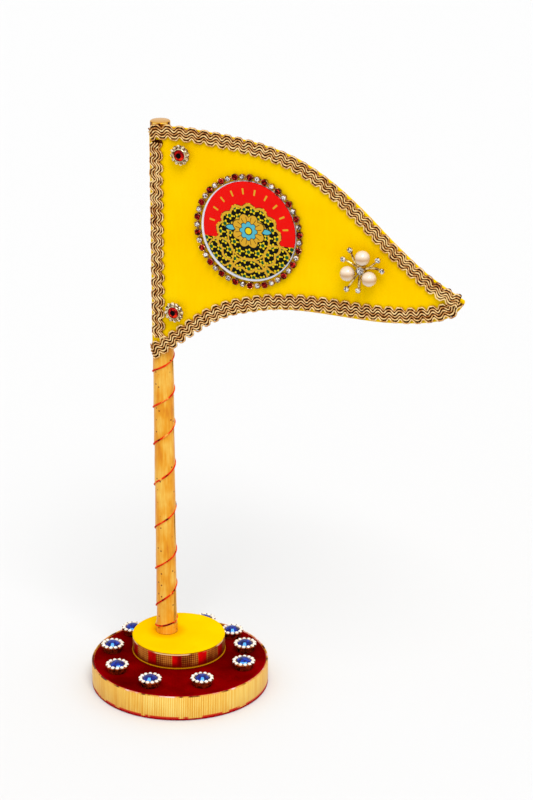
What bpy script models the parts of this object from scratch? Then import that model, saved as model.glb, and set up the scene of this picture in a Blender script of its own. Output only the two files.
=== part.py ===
"""Table-top temple flag: a braided yellow cloth flag on a ribbon-wrapped pole,
standing on a round cloth-covered base with a smaller round step on top.

Units are metres, +Z is up. The origin is the centre of the base's underside.
The flag lies in a plane parallel to XZ, its face looks towards -Y, and it
reaches from the pole towards +X. Run with: blender --background --python part.py
"""
import math

import bmesh
import bpy
from mathutils import Matrix, Vector

MM = 0.001
GAP = 0.3 * MM                    # air left between pieces that touch

# Base: a board disc in a red cloth cover, with a gold ribbon round its side
BASE_RADIUS = 46.6 * MM
BASE_HEIGHT = 14.0 * MM
CLOTH = 1.2 * MM                  # thickness of the two stretched covers
COVER_EDGE = 0.8 * MM             # rounding where a cover turns down
HEM = 0.6 * MM                    # a cover's folded hem, left bare under the ribbon
BASE_BAND = 0.9 * MM
BASE_SEGMENTS = 64

# Step: a smaller disc, set back on the base
TIER_CENTRE = (-4.6 * MM, 7.8 * MM)
TIER_RADIUS = 24.6 * MM
TIER_HEIGHT = 10.0 * MM
TIER_BAND = 0.8 * MM
TIER_HEM_RADIUS = 25.1 * MM       # the hem stands out under the ribbon
TIER_SEGMENTS = 48

# Pole: a dowel wound with satin ribbon, with a red thread and a brass cap
POLE_AXIS = (-11.2 * MM, 7.0 * MM)
DOWEL_RADIUS = 4.2 * MM
WRAP_RADIUS = 5.45 * MM
COLLAR_RADIUS = 5.85 * MM         # the ribbon's last turns at the foot
COLLAR_HEIGHT = 5.5 * MM
CAP_RADIUS = 5.15 * MM
CAP_LENGTH = 4.7 * MM
CAP_EDGE = 1.0 * MM               # rounding at the cap's top
TOTAL_HEIGHT = 305.4 * MM
POLE_SEGMENTS = 24
THREAD_RADIUS = 0.35 * MM
THREAD_START_ANGLE = 205.4        # degrees: where the first half turn begins
# height of the thread after each half turn round the pole, in mm
THREAD_HALF_TURNS = (27.6, 31.7, 38.8, 52.2, 60.3, 71.9, 84.0, 96.0, 108.5,
                     121.0, 131.1, 143.4, 151.8, 162.3, 171.7, 180.6)
THREAD_STEPS = 6                  # steps in each half turn

# Flag: a stiffened sheet whose left edge is folded round the pole as a sleeve
SLEEVE_INNER = 4.5 * MM           # it sits straight on the bare dowel
SLEEVE_CLOTH = 1.0 * MM
PANEL_THICKNESS = 2.0 * MM
SLEEVE_FLAP = (7.5, 12.5)         # mm from the pole's axis: the flap's two ends
SLEEVE_TOP = 300.0 * MM
SLEEVE_FOOT = 185.5 * MM
# outline of the panel: (across from the pole's axis, height) in mm
PANEL_TOP = ((0, 300.3), (4.2, 300.4), (8, 304.2), (26, 304.1), (44, 302.9), (61, 300.8),
             (78, 296.3), (95.5, 287.4), (112.6, 275.0), (129.8, 260.2),
             (146.5, 247.5), (160.6, 239.6), (166.4, 236.7))
PANEL_FOOT = ((0, 185.5), (7.9, 189.6), (17.1, 196.0), (26.3, 202.6),
              (35.3, 207.8), (48.7, 213.0), (66.4, 217.3), (84, 218.9),
              (118.5, 219.2), (135.6, 220.8), (148, 223.0), (156.5, 225.9),
              (162.7, 230.2), (166.4, 235.3))
PANEL_START = 4.2 * MM            # where the panel's even columns start, clear of the cap
PANEL_COLUMNS = 44

# Braids: flat plaits of three strands, each strand three cords side by side
BRAID_HALF_WIDTH = 4.15 * MM
BRAID_NOTCH = 0.75 * MM           # depth of the scallops along each edge
BRAID_SCALLOP = 6.35 * MM         # one scallop along the braid
BRAID_EDGE = 0.75 * MM
BRAID_CROWN = 1.35 * MM
BRAID_LIFT = 0.42 * MM            # clear of the cloth, also where it bends round the pole
BRAID_STEPS = 4                   # steps in each scallop
# centre lines: (across from the pole's axis, height) in mm; less than zero
# across is wound back round the pole
BRAID_ROUTES = {
    "braid_top": ((-3.2, 299.0), (0, 299.9), (4.5, 300.8), (17, 301.2),
                  (30, 300.7), (45, 299.7), (62.6, 297.3), (80, 291.9),
                  (97, 282.4), (114.2, 269.0), (131.0, 254.8), (148.0, 242.8),
                  (156.4, 238.8), (163.1, 236.4)),
    "braid_bottom": ((-4.6, 183.8), (0.5, 187.4), (6.8, 191.9), (17.5, 200.4),
                     (27, 207.7), (36, 213.0), (45, 216.8), (62.6, 221.7),
                     (80, 224.2), (97.5, 224.9), (114.7, 224.9),
                     (131.8, 225.8), (142, 227.1), (151.5, 229.6)),
    "braid_pole": ((0.5, 292.4), (0.5, 260), (0.5, 228), (0.5, 196.4)),
}

# Medallion: a white disc, a round print a little off its centre, a stone chain
MEDALLION_CENTRE = (51.9, 256.6)  # mm across and up
MEDALLION_RADIUS = 26.0 * MM
MEDALLION_THICKNESS = 1.2 * MM
PRINT_RADIUS = 25.0 * MM
PRINT_OFFSET = (0.6, 0.6)         # mm
PRINT_THICKNESS = 0.8 * MM
PRINT_CROWN = 0.5 * MM
CHAIN_RADIUS = 28.1 * MM
CHAIN_STONES = 43
CHAIN_HALF_WIDTH = 1.75 * MM
CHAIN_HEIGHT = 2.7 * MM

# Jewelled buttons: (across, height) in mm on the flag
FLAG_BUTTONS = ((14.9, 291.4), (10.6, 208.0))
FLAG_BUTTON_RADIUS = 5.4 * MM
FLAG_STONE_RADIUS = 2.9 * MM
# on the base: (degrees round, mm from the base's centre)
BASE_BUTTONS = ((158.5, 37.8), (194.4, 36.6), (233.3, 36.7), (271.8, 36.5),
                (316.0, 35.2), (4.1, 36.3), (38.0, 35.3), (67.2, 36.6),
                (97.7, 39.9), (128.1, 40.2))
BASE_BUTTON_RADIUS = 6.1 * MM
BASE_STONE_RADIUS = 3.9 * MM
BUTTON_HEIGHT = 4.8 * MM
BUTTON_SEAT = 0.6                 # height of the stone's seat, part of the button's
BUTTON_CRYSTALS = 12

# Brooch: places as (across, height) in mm
BROOCH_HUB = (113.6, 245.8)
BROOCH_HUB_RADIUS = 2.2 * MM
BROOCH_LIFT = 2.4 * MM            # the frame's back over the cloth
BROOCH_PLATE = 0.8 * MM
BROOCH_WIRE = 0.8 * MM
BROOCH_STONE_RADIUS = 1.55 * MM
BROOCH_STONE_HEIGHT = 2.0 * MM
BROOCH_STONES = ((123.0, 252.7), (125.3, 247.5), (112.8, 235.8),
                 (106.6, 235.6), (104.6, 250.7), (108.2, 256.0))
PEARL_RADIUS = 3.7 * MM
PEARL_LIFT = 6.2 * MM             # a pearl's middle over the cloth
PEARLS = ((115.6, 253.4), (107.7, 244.3), (119.3, 243.1))
WIRE_BOW = 0.06                   # sideways bow of a wire, part of its length

# Derived places
BASE_TOP = BASE_HEIGHT
TIER_FOOT = BASE_TOP + GAP
TIER_TOP = BASE_TOP + TIER_HEIGHT
WRAP_FOOT = TIER_TOP + GAP
WRAP_TOP = SLEEVE_FOOT - GAP
CAP_FOOT = TOTAL_HEIGHT - CAP_LENGTH
SLEEVE_OUTER = SLEEVE_INNER + SLEEVE_CLOTH
PANEL_TIP = PANEL_TOP[-1][0] * MM

MATERIALS = {
    "board": ((0.62, 0.47, 0.30), 0.8, 0.0),
    "red_cloth": ((0.42, 0.01, 0.02), 0.45, 0.0),
    "gold_ribbon": ((0.86, 0.56, 0.18), 0.35, 0.6),
    "tissue_ribbon": ((0.50, 0.30, 0.10), 0.35, 0.6),
    "yellow_cloth": ((1.0, 0.63, 0.0), 0.7, 0.0),
    "satin_ribbon": ((0.93, 0.55, 0.16), 0.4, 0.1),
    "red_thread": ((0.80, 0.08, 0.03), 0.7, 0.0),
    "brass": ((0.88, 0.56, 0.12), 0.25, 1.0),
    "braid_cord": ((0.62, 0.42, 0.20), 0.7, 0.0),
    "white_card": ((0.88, 0.88, 0.88), 0.4, 0.0),
    "print": ((0.75, 0.03, 0.02), 0.3, 0.0),
    "pale_gold": ((0.90, 0.76, 0.50), 0.25, 1.0),
    "red_stone": ((0.45, 0.0, 0.01), 0.05, 0.0),
    "blue_stone": ((0.01, 0.05, 0.35), 0.05, 0.0),
    "clear_stone": ((0.85, 0.85, 0.88), 0.05, 0.0),
    "pearl": ((0.93, 0.84, 0.76), 0.2, 0.0),
}


# Basic helpers

def make_materials():
    """One Principled material for each finish."""
    made = {}
    for name, (colour, roughness, metallic) in MATERIALS.items():
        material = bpy.data.materials.new(name)
        material.use_nodes = True
        shader = material.node_tree.nodes["Principled BSDF"]
        shader.inputs["Base Color"].default_value = (*colour, 1.0)
        shader.inputs["Roughness"].default_value = roughness
        shader.inputs["Metallic"].default_value = metallic
        made[name] = material
    return made


def add_piece(name, bm, material, sharp_degrees=35):
    """Turn a bmesh into a named object with outward faces."""
    bmesh.ops.recalc_face_normals(bm, faces=bm.faces)
    mesh = bpy.data.meshes.new(name)
    bm.to_mesh(mesh)
    bm.free()
    mesh.materials.append(material)
    mesh.shade_smooth()
    mesh.set_sharp_from_angle(angle=math.radians(sharp_degrees))
    piece = bpy.data.objects.new(name, mesh)
    bpy.context.collection.objects.link(piece)
    return piece


def turned(profile, segments, closed=False):
    """Spin a list of (radius, height) points round the Z axis."""
    bm = bmesh.new()
    verts = [bm.verts.new((radius, 0, height)) for radius, height in profile]
    edges = [bm.edges.new(pair) for pair in zip(verts, verts[1:])]
    if closed:
        edges.append(bm.edges.new((verts[-1], verts[0])))
    bmesh.ops.spin(bm, geom=verts + edges, cent=(0, 0, 0), axis=(0, 0, 1),
                   angle=math.tau, steps=segments, use_merge=True)
    bmesh.ops.remove_doubles(bm, verts=bm.verts, dist=1e-7)
    return bm


def loft(rings, cyclic=False):
    """Join rings of points, each to the next, into one closed solid."""
    bm = bmesh.new()
    rows = [[bm.verts.new(point) for point in ring] for ring in rings]
    if cyclic:
        pairs = list(zip(rows, rows[1:] + rows[:1]))
    else:
        pairs = list(zip(rows, rows[1:]))
        bm.faces.new(rows[0])
        bm.faces.new(rows[-1])
    for row, following in pairs:
        for i in range(len(row)):
            bm.faces.new((row[i - 1], row[i], following[i], following[i - 1]))
    return bm


def move(bm, x, y, z):
    bmesh.ops.translate(bm, verts=bm.verts, vec=(x, y, z))
    return bm


def smooth_line(points, steps):
    """Points along a Catmull-Rom curve through the given ones."""
    ends = [points[0], *points, points[-1]]
    line = []
    for a, b, c, d in zip(ends, ends[1:], ends[2:], ends[3:]):
        a, b, c, d = (Vector(point) for point in (a, b, c, d))
        for step in range(steps):
            t = step / steps
            line.append(0.5 * (2 * b + (c - a) * t + (2 * a - 5 * b + 4 * c - d) * t ** 2
                               + (3 * b - a - 3 * c + d) * t ** 3))
    line.append(Vector(points[-1]))
    return line


def height_at(line, across):
    """Height of a left-to-right line at a distance across."""
    for start, end in zip(line, line[1:]):
        if across <= end.x:
            share = (across - start.x) / (end.x - start.x)
            return start.y + share * (end.y - start.y)
    return line[-1].y


# Places on the flag's face

def face_point(across, height, out):
    """A point out from the flag's face; less than zero across goes round the pole."""
    radius = SLEEVE_OUTER + out
    if across >= 0:
        return Vector((POLE_AXIS[0] + across, POLE_AXIS[1] - radius, height))
    turn = -across / SLEEVE_OUTER
    return Vector((POLE_AXIS[0] - radius * math.sin(turn),
                   POLE_AXIS[1] - radius * math.cos(turn), height))


def set_on_face(bm, place, out):
    """Stand a piece made upright on the flag's face, at (across, height) in mm."""
    bmesh.ops.rotate(bm, verts=bm.verts, cent=(0, 0, 0),
                     matrix=Matrix.Rotation(math.radians(90), 3, "X"))
    spot = face_point(place[0] * MM, place[1] * MM, out)
    return move(bm, *spot)


# Base and step

def cover_profile(lid, skirt, hem, foot, top):
    """Half section of a cloth cover: flat lid, rounded edge, skirt and folded hem."""
    inner = skirt - CLOTH
    under_lid = [(lid, top - CLOTH), (skirt, top - CLOTH)] if lid > skirt else []
    return [(0, top), (lid - COVER_EDGE, top),
            (lid - 0.3 * COVER_EDGE, top - 0.3 * COVER_EDGE), (lid, top - COVER_EDGE),
            *under_lid, (skirt, foot + HEM), (hem, foot + HEM), (hem, foot),
            (inner, foot), (inner, top - CLOTH), (0, top - CLOTH)]


def add_tube(name, inner, outer, low, high, segments, shift, material):
    bm = turned([(inner, low), (outer, low), (outer, high), (inner, high)],
                segments, closed=True)
    add_piece(name, move(bm, *shift), material)


def add_disc(name, radius, low, high, segments, shift, material):
    bm = turned([(0, low), (radius, low), (radius, high), (0, high)], segments)
    add_piece(name, move(bm, *shift), material)


def build_base(finish):
    skirt = BASE_RADIUS - BASE_BAND - GAP
    board = skirt - CLOTH - GAP
    centre = (0, 0, 0)
    add_disc("base_disc", board, 0, BASE_TOP - CLOTH - GAP, BASE_SEGMENTS, centre,
             finish["board"])
    bm = turned(cover_profile(skirt, skirt, BASE_RADIUS, GAP, BASE_TOP), BASE_SEGMENTS)
    add_piece("base_cover", bm, finish["red_cloth"])
    add_tube("base_band", skirt + GAP, BASE_RADIUS, 2 * GAP + HEM, BASE_TOP - GAP,
             BASE_SEGMENTS, centre, finish["gold_ribbon"])


def build_tier(finish):
    skirt = TIER_RADIUS - TIER_BAND - GAP
    board = skirt - CLOTH - GAP
    centre = (*TIER_CENTRE, 0)
    add_disc("tier_disc", board, TIER_FOOT, TIER_TOP - CLOTH - GAP, TIER_SEGMENTS, centre,
             finish["board"])
    bm = turned(cover_profile(TIER_RADIUS, skirt, TIER_HEM_RADIUS, TIER_FOOT, TIER_TOP),
                TIER_SEGMENTS)
    add_piece("tier_cover", move(bm, *centre), finish["yellow_cloth"])
    add_tube("tier_band", skirt + GAP, TIER_RADIUS, TIER_FOOT + HEM + GAP,
             TIER_TOP - CLOTH - GAP, TIER_SEGMENTS, centre, finish["tissue_ribbon"])


# Pole

def build_pole(finish):
    shift = (*POLE_AXIS, 0)
    dowel_top = TOTAL_HEIGHT - CAP_EDGE - GAP
    add_disc("pole", DOWEL_RADIUS, WRAP_FOOT, dowel_top, POLE_SEGMENTS, shift,
             finish["board"])

    inner = DOWEL_RADIUS + GAP
    collar = WRAP_FOOT + COLLAR_HEIGHT
    bm = turned([(inner, WRAP_FOOT), (COLLAR_RADIUS, WRAP_FOOT), (COLLAR_RADIUS, collar),
                 (WRAP_RADIUS, collar + 0.5 * MM), (WRAP_RADIUS, WRAP_TOP),
                 (inner, WRAP_TOP)], POLE_SEGMENTS, closed=True)
    add_piece("pole_wrap", move(bm, *shift), finish["satin_ribbon"])

    inside = dowel_top + GAP
    bm = turned([(0, TOTAL_HEIGHT), (CAP_RADIUS - CAP_EDGE, TOTAL_HEIGHT - 0.15 * MM),
                 (CAP_RADIUS - 0.3 * CAP_EDGE, TOTAL_HEIGHT - 0.45 * CAP_EDGE),
                 (CAP_RADIUS, TOTAL_HEIGHT - CAP_EDGE), (CAP_RADIUS, CAP_FOOT),
                 (inner, CAP_FOOT), (inner, inside), (0, inside)], POLE_SEGMENTS)
    add_piece("pole_cap", move(bm, *shift), finish["brass"])
    build_thread(finish["red_thread"])


def build_thread(material):
    """The red thread: one helix round the ribbon, as uneven as it was wound."""
    radius = WRAP_RADIUS + GAP + THREAD_RADIUS
    foot_lift = COLLAR_RADIUS - WRAP_RADIUS
    collar_top = (WRAP_FOOT + COLLAR_HEIGHT + 1.5 * MM) / MM
    rings = []
    turns = [Vector((i, height)) for i, height in enumerate(THREAD_HALF_TURNS)]
    for place in smooth_line(turns, THREAD_STEPS):
        angle = math.radians(THREAD_START_ANGLE) + place.x * math.pi
        lift = foot_lift if place.y < collar_top else 0
        outward = Vector((math.cos(angle), math.sin(angle), 0))
        centre = Vector((*POLE_AXIS, place.y * MM)) + outward * (radius + lift)
        ring = []
        for side in range(6):
            tilt = math.tau * side / 6
            ring.append(centre + THREAD_RADIUS * (math.cos(tilt) * outward
                                                  + math.sin(tilt) * Vector((0, 0, 1))))
        rings.append(ring)
    add_piece("pole_thread", loft(rings), material)


# Flag cloth

def sleeve_columns():
    """Columns (outer point, inner point) in plan, from the flap round to the front."""
    flap_start, flap_end = (value * MM for value in SLEEVE_FLAP)
    back = -(SLEEVE_OUTER - PANEL_THICKNESS)
    lip = Vector((flap_start, back + GAP))
    reach = math.acos(SLEEVE_INNER / lip.length)
    tangent = math.atan2(lip.y, lip.x) + reach
    columns = []
    for across in (flap_end, flap_start + 1.5 * MM):
        columns.append(((across, back + GAP + SLEEVE_CLOTH), (across, back + GAP)))
    normal = Vector((math.cos(tangent), math.sin(tangent)))
    for share in (0.0, 0.5):
        inner = lip.lerp(normal * SLEEVE_INNER, share)
        outer = inner + normal * SLEEVE_CLOTH
        columns.append((tuple(outer), tuple(inner)))
    start = tangent
    end = math.radians(270)
    steps = 15
    for step in range(steps):
        angle = start + (end - start) * step / steps
        direction = (math.cos(angle), math.sin(angle))
        columns.append(tuple(tuple(radius * part for part in direction)
                             for radius in (SLEEVE_OUTER, SLEEVE_INNER)))
    return columns


def build_flag(finish):
    """The sheet as upright columns, in two nodes: the sleeve with its flap, and the panel."""
    top = smooth_line(PANEL_TOP, 6)
    foot = smooth_line(PANEL_FOOT, 6)
    front = -SLEEVE_OUTER
    back = front + PANEL_THICKNESS
    meets_panel = math.sqrt(SLEEVE_INNER ** 2 - back ** 2)

    def column(outer, inner, low, high):
        return [Vector((POLE_AXIS[0] + x, POLE_AXIS[1] + y, height))
                for (x, y), height in ((outer, low), (inner, low), (inner, high), (outer, high))]

    def heights(across):
        return [height_at(line, across / MM) * MM for line in (foot, top)]

    sleeve = []
    for outer, inner in sleeve_columns():
        sleeve.append(column(outer, inner, max(SLEEVE_FOOT, heights(outer[0])[0]), SLEEVE_TOP))
    for across in (0, 0.5 * meets_panel, meets_panel):
        inner = (across, -math.sqrt(SLEEVE_INNER ** 2 - across ** 2))
        sleeve.append(column((across, front), inner, *heights(across)))
    add_piece("flag_sleeve", loft(sleeve), finish["yellow_cloth"])

    places = [meets_panel + GAP]
    for step in range(PANEL_COLUMNS + 1):
        # columns stand closer together towards the rounded tip
        share = 1 - (1 - step / PANEL_COLUMNS) ** 1.25
        places.append(PANEL_START + (PANEL_TIP - PANEL_START) * share)
    panel = [column((across, front), (across, back), *heights(across)) for across in places]
    add_piece("flag_panel", loft(panel), finish["yellow_cloth"])


# Braids

def build_braid(name, route, material):
    """A plaited strip: scalloped edges out of step and a crown down the middle."""
    line = smooth_line([(across * MM, height * MM) for across, height in route], 12)
    lengths = [0.0]
    for start, end in zip(line, line[1:]):
        lengths.append(lengths[-1] + (end - start).length)
    count = round(lengths[-1] / BRAID_SCALLOP) * BRAID_STEPS
    rings = []
    index = 0
    for step in range(count + 1):
        wanted = lengths[-1] * step / count
        while index < len(line) - 2 and lengths[index + 1] < wanted:
            index += 1
        start, end = line[index], line[index + 1]
        share = (wanted - lengths[index]) / (lengths[index + 1] - lengths[index])
        centre = start.lerp(end, share)
        along = (end - start).normalized()
        side = Vector((-along.y, along.x))
        phase = math.tau * step / BRAID_STEPS
        left = BRAID_HALF_WIDTH - BRAID_NOTCH * (0.5 - 0.5 * math.cos(phase))
        right = BRAID_HALF_WIDTH - BRAID_NOTCH * (0.5 + 0.5 * math.cos(phase))
        crown = (left - right) * 0.8
        section = ((left, 0), (left, BRAID_EDGE), (crown, BRAID_CROWN),
                   (-right, BRAID_EDGE), (-right, 0), (-0.5 * right, 0), (0, 0),
                   (0.5 * left, 0))
        ring = []
        for offset, out in section:
            spot = centre + side * offset
            ring.append(face_point(spot.x, spot.y, out + BRAID_LIFT))
        rings.append(ring)
    add_piece(name, loft(rings), material, sharp_degrees=60)


# Medallion

def build_medallion(finish):
    base = GAP
    bm = turned([(0, 0), (MEDALLION_RADIUS, 0), (MEDALLION_RADIUS, MEDALLION_THICKNESS),
                 (0, MEDALLION_THICKNESS)], TIER_SEGMENTS)
    add_piece("medallion_disc", set_on_face(bm, MEDALLION_CENTRE, base), finish["white_card"])

    base += MEDALLION_THICKNESS + GAP
    bm = turned([(0, 0), (PRINT_RADIUS, 0), (PRINT_RADIUS, 0.5 * PRINT_THICKNESS),
                 (0.97 * PRINT_RADIUS, PRINT_THICKNESS),
                 (0.6 * PRINT_RADIUS, PRINT_THICKNESS + 0.7 * PRINT_CROWN),
                 (0, PRINT_THICKNESS + PRINT_CROWN)], TIER_SEGMENTS)
    centre = [middle + shift for middle, shift in zip(MEDALLION_CENTRE, PRINT_OFFSET)]
    add_piece("medallion_print", set_on_face(bm, centre, base), finish["print"])

    rings = []
    for step in range(CHAIN_STONES * 3):
        angle = math.tau * step / (CHAIN_STONES * 3)
        on_stone = step % 3 > 0
        half = CHAIN_HALF_WIDTH * (1 if on_stone else 0.6)
        height = CHAIN_HEIGHT * (1 if on_stone else 0.6)
        rings.append([Vector((radius * math.cos(angle), radius * math.sin(angle), level))
                      for radius, level in ((CHAIN_RADIUS - half, 0),
                                            (CHAIN_RADIUS + half, 0),
                                            (CHAIN_RADIUS + 0.8 * half, height),
                                            (CHAIN_RADIUS - 0.8 * half, height))])
    bm = loft(rings, cyclic=True)
    add_piece("medallion_chain", set_on_face(bm, MEDALLION_CENTRE, GAP), finish["pale_gold"])


# Jewelled buttons

def setting(radius, stone_radius):
    """A button's metal part: a foot, a scalloped flange and a seat for the stone."""
    seat = BUTTON_SEAT * BUTTON_HEIGHT
    bm = turned([(0, 0), (0.75 * radius, 0), (0.78 * radius, 0.5 * BUTTON_HEIGHT),
                 (radius, 0.62 * BUTTON_HEIGHT), (radius, 0.88 * BUTTON_HEIGHT),
                 (stone_radius + GAP, 0.96 * BUTTON_HEIGHT), (stone_radius + GAP, seat),
                 (0, seat)], 2 * BUTTON_CRYSTALS)
    for vert in bm.verts:
        if vert.co.xy.length > 0.9 * radius:
            slot = round(math.atan2(vert.co.y, vert.co.x) / math.tau * 2 * BUTTON_CRYSTALS)
            if slot % 2:
                vert.co.xy *= 0.94
    return bm


def cut_stone(radius, height, sides=8):
    """A faceted stone: flat back, girdle, crown and table."""
    return turned([(0, 0), (radius, 0), (radius, 0.3 * height), (0.55 * radius, height),
                   (0, height)], sides)


def build_buttons(finish):
    seat = BUTTON_SEAT * BUTTON_HEIGHT + GAP
    stone_height = 0.4 * BUTTON_HEIGHT
    for number, place in enumerate(FLAG_BUTTONS, 1):
        bm = setting(FLAG_BUTTON_RADIUS, FLAG_STONE_RADIUS)
        add_piece(f"flag_button_{number}", set_on_face(bm, place, GAP), finish["pale_gold"])
        bm = cut_stone(FLAG_STONE_RADIUS, stone_height)
        add_piece(f"flag_stone_{number}", set_on_face(bm, place, GAP + seat),
                  finish["red_stone"], sharp_degrees=10)
    for number, (angle, distance) in enumerate(BASE_BUTTONS, 1):
        x = distance * MM * math.cos(math.radians(angle))
        y = distance * MM * math.sin(math.radians(angle))
        bm = setting(BASE_BUTTON_RADIUS, BASE_STONE_RADIUS)
        add_piece(f"base_button_{number}", move(bm, x, y, BASE_TOP + GAP), finish["pale_gold"])
        bm = cut_stone(BASE_STONE_RADIUS, stone_height)
        add_piece(f"base_stone_{number}", move(bm, x, y, BASE_TOP + GAP + seat),
                  finish["blue_stone"], sharp_degrees=10)


# Brooch

def brooch_outline():
    """Plan of the frame: a hub, three short arms to the pearls and six bowed wires."""
    level = PEARL_LIFT - BROOCH_LIFT - BROOCH_PLATE
    pearl_stop = math.sqrt(PEARL_RADIUS ** 2 - level ** 2) + 1.5 * GAP
    arms = [(place, pearl_stop, 0.0, False) for place in PEARLS]
    arms += [(place, BROOCH_STONE_RADIUS, WIRE_BOW * (-1) ** number, True)
             for number, place in enumerate(BROOCH_STONES)]
    hub = Vector(BROOCH_HUB)
    rows = []
    for place, stop, bow, has_seat in arms:
        reach = (Vector(place) - hub) * MM
        rows.append((math.atan2(reach.y, reach.x), reach, stop, bow, has_seat))
    rows.sort(key=lambda row: row[0])
    outline = []
    half = 0.5 * BROOCH_WIRE
    for _, reach, stop, bow, has_seat in rows:
        along = reach.normalized()
        side = Vector((-along.y, along.x))
        length = reach.length
        first = BROOCH_HUB_RADIUS / length
        last = 1 - stop / length
        centres = []
        for share in (0.0, 0.35, 0.7, 1.0) if has_seat else (0.0, 1.0):
            place = first + (last - first) * share
            centres.append(along * length * place
                           + side * bow * length * math.sin(math.pi * place) * (1 - place))
        outline += [centre - side * half for centre in centres]
        if has_seat:
            for number in range(1, 8):
                angle = math.pi + math.tau * number / 8
                outline.append(reach + stop * (math.cos(angle) * along
                                               + math.sin(angle) * side))
        outline += [centre + side * half for centre in reversed(centres)]
    return outline


def build_brooch(finish):
    bm = bmesh.new()
    verts = [bm.verts.new((*point, 0)) for point in brooch_outline()]
    face = bm.faces.new(verts)
    grown = bmesh.ops.extrude_face_region(bm, geom=[face])
    lifted = [item for item in grown["geom"] if isinstance(item, bmesh.types.BMVert)]
    bmesh.ops.translate(bm, verts=lifted, vec=(0, 0, BROOCH_PLATE))
    bmesh.ops.triangulate(bm, faces=[item for item in bm.faces if len(item.verts) > 4])
    add_piece("brooch_frame", set_on_face(bm, BROOCH_HUB, BROOCH_LIFT), finish["pale_gold"])

    post_height = BROOCH_LIFT - 2 * GAP
    bm = turned([(0, 0), (BROOCH_HUB_RADIUS, 0), (BROOCH_HUB_RADIUS, post_height),
                 (0, post_height)], 12)
    add_piece("brooch_post", set_on_face(bm, BROOCH_HUB, GAP), finish["pale_gold"])

    for number, place in enumerate(PEARLS, 1):
        bm = bmesh.new()
        bmesh.ops.create_icosphere(bm, subdivisions=3, radius=PEARL_RADIUS)
        add_piece(f"pearl_{number}", set_on_face(bm, place, PEARL_LIFT), finish["pearl"])
    top = BROOCH_LIFT + BROOCH_PLATE + GAP
    for number, place in enumerate((BROOCH_HUB, *BROOCH_STONES)):
        bm = cut_stone(BROOCH_STONE_RADIUS, BROOCH_STONE_HEIGHT)
        add_piece(f"brooch_stone_{number}", set_on_face(bm, place, top),
                  finish["clear_stone"], sharp_degrees=10)


def main():
    for leftover in list(bpy.data.objects):
        bpy.data.objects.remove(leftover, do_unlink=True)
    finish = make_materials()
    build_base(finish)
    build_tier(finish)
    build_pole(finish)
    build_flag(finish)
    for name, route in BRAID_ROUTES.items():
        build_braid(name, route, finish["braid_cord"])
    build_medallion(finish)
    build_buttons(finish)
    build_brooch(finish)


main()
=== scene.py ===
# Table temple flag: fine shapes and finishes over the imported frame
import math
import random

import bmesh
import bpy
from mathutils import Matrix, Vector, noise


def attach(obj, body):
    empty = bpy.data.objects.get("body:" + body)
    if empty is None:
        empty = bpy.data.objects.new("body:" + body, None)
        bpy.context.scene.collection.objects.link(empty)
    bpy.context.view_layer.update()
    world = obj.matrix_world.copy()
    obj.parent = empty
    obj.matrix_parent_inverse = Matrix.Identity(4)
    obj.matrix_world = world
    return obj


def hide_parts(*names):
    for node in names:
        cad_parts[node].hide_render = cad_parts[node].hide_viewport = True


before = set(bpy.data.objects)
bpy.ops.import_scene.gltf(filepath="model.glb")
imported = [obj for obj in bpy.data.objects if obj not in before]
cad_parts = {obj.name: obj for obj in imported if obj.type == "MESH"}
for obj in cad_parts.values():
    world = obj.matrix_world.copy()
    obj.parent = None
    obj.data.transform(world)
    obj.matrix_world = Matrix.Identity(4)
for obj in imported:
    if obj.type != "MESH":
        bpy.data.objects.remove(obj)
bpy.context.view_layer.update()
mm = 0.001
random.seed(11)


# Camera, lights and floor

studio = {
    "azimuth": 25.354,          # degrees to the right of the flag's front
    "elevation": 21.553,
    "distance": 1.54185,
    "aimAcross": 0.045825,      # metres to the right of the base's centre, in the view
    "aimHeight": 0.160053,
    "lens": 135.5,
    "worldStrength": 1.0,
    "key": (38, 56, 30, 1.88),  # azimuth, elevation, softness in degrees, strength
    "lightLevel": 1.2,          # how much brighter than white paper's share things are lit
    "floorColour": (0.655, 0.655, 0.655),
}


def direction(azimuth, elevation):
    a = math.radians(azimuth)
    e = math.radians(elevation)
    return Vector((math.sin(a) * math.cos(e), -math.cos(a) * math.cos(e), math.sin(e)))


def addCamera():
    back = direction(studio["azimuth"], studio["elevation"])
    right = direction(studio["azimuth"] + 90, 0)
    cameraData = bpy.data.cameras.new("camera")
    cameraData.lens = studio["lens"]
    cameraData.sensor_width = 36
    cameraData.clip_end = 60
    camera = bpy.data.objects.new("camera", cameraData)
    bpy.context.scene.collection.objects.link(camera)
    aim = right * studio["aimAcross"] + Vector((0, 0, studio["aimHeight"]))
    camera.location = aim + back * studio["distance"]
    camera.rotation_euler = (math.radians(90 - studio["elevation"]), 0,
                             math.radians(studio["azimuth"]))
    bpy.context.scene.camera = camera


def addLight(name, azimuth, elevation, softness, strength):
    towards = direction(azimuth, elevation)
    lightData = bpy.data.lights.new(name, "SUN")
    lightData.angle = math.radians(softness)
    lightData.energy = strength
    light = bpy.data.objects.new(name, lightData)
    bpy.context.scene.collection.objects.link(light)
    light.location = Vector((0.06, 0, 0.24)) + towards * 2
    light.rotation_euler = towards.to_track_quat("Z", "Y").to_euler()


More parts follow.
